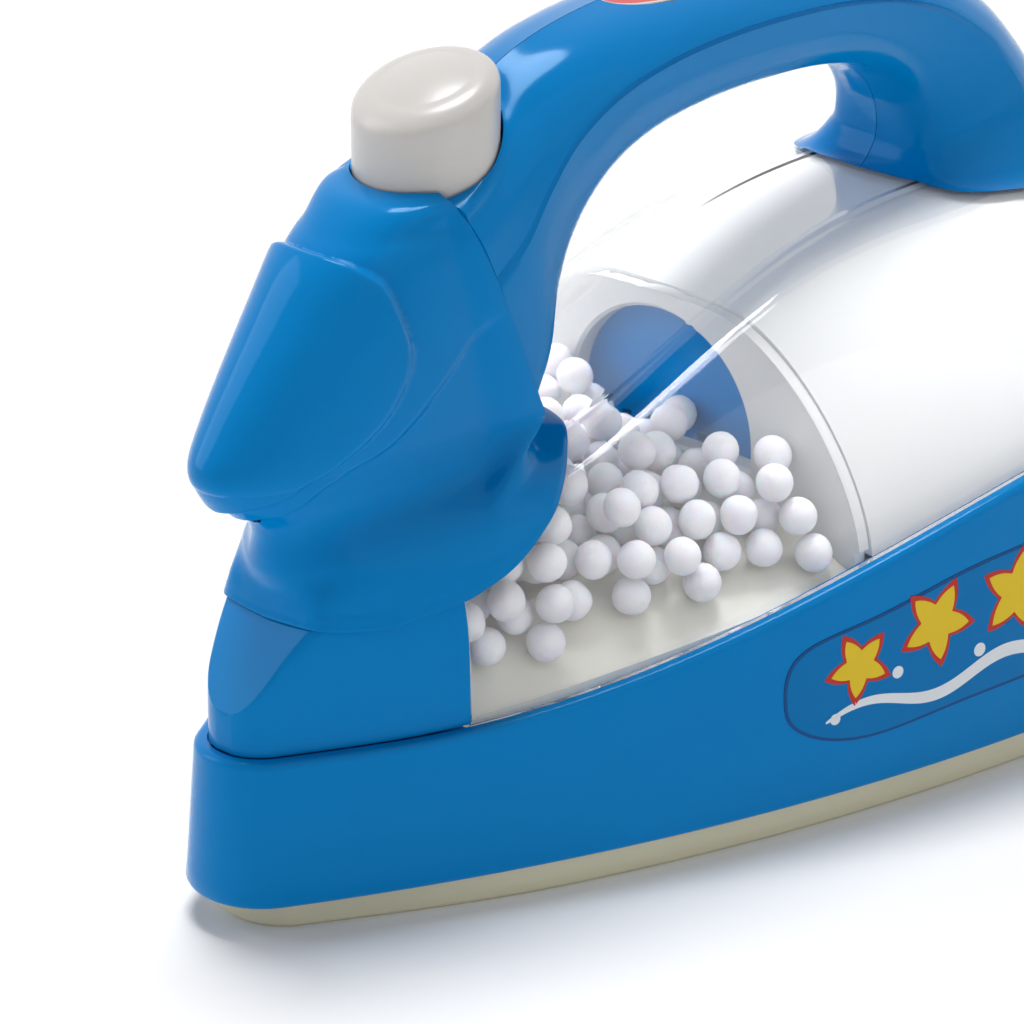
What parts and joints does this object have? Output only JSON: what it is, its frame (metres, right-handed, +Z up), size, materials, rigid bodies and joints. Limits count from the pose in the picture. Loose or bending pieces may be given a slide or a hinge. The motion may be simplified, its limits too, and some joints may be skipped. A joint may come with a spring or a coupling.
{
  "type": "toy iron",
  "caption": "Toy iron with a blue skirt, arched handle with a white push button, and a clear tank whose loose foam beads are blown about like steam.",
  "frame": {"origin": "centre of the soleplate's underside, which the toy stands on", "axes": "+X from nose to heel, +Y to the far side, +Z up"},
  "size_m": [0.186, 0.101, 0.1115],
  "materials": {
    "blue_plastic": "glossy injection-moulded polystyrene, dyed blue",
    "cream_plastic": "satin injection-moulded plastic, cream",
    "clear_plastic": "clear polished polystyrene",
    "white_plastic": "glossy white injection-moulded plastic",
    "foam": "expanded polystyrene bead, matte",
    "red_plastic": "glossy red plastic",
    "black_plastic": "matte black plastic",
    "cell_jacket": "printed shrink film on a dry cell",
    "steel": "zinc-plated steel"
  },
  "bodies": {
    "shell": {"soleplate": "cream_plastic", "base_skirt": "blue_plastic", "nose_block": "blue_plastic", "tank_dome": "clear_plastic", "heel_block": "blue_plastic", "bead_tray": "cream_plastic", "bulkhead": "white_plastic", "blower_panel": "blue_plastic", "inner_cover": "white_plastic", "foam_beads": "foam", "head_cover": "blue_plastic", "handle_left": "blue_plastic", "handle_right": "blue_plastic", "button_spring": "steel", "switch_body": "black_plastic", "badge_plate": "red_plastic", "motor": "steel", "motor_bracket": "white_plastic", "battery_box": "cream_plastic", "battery_cells": "cell_jacket", "contact_springs": "steel", "contact_plates": "steel", "base_screws": "steel", "handle_screws": "steel", "lead_red": "red_plastic", "lead_black": "black_plastic"},
    "button": {"push_button": "white_plastic", "switch_plunger": "red_plastic"},
    "rotor": {"motor_shaft": "steel", "impeller": "white_plastic"},
    "door": {"battery_door": "cream_plastic", "door_screw": "steel"}
  },
  "joints": [
    {"name": "button_press", "type": "slide", "parent": "shell", "child": "button", "axis": [0, 0, -1], "range_m": [0, 0.003], "stiffness_N_per_m": 500, "springref_m": -0.002, "deforming": ["button_spring"]},
    {"name": "blower_spin", "type": "hinge", "parent": "shell", "child": "rotor", "pos_m": [0.0085, 0, 0.0465], "axis": [1, 0, 0], "continuous": true},
    {"name": "door_lift", "type": "slide", "parent": "shell", "child": "door", "axis": [0, 0, -1], "range_m": [0, 0.012]}
  ]
}
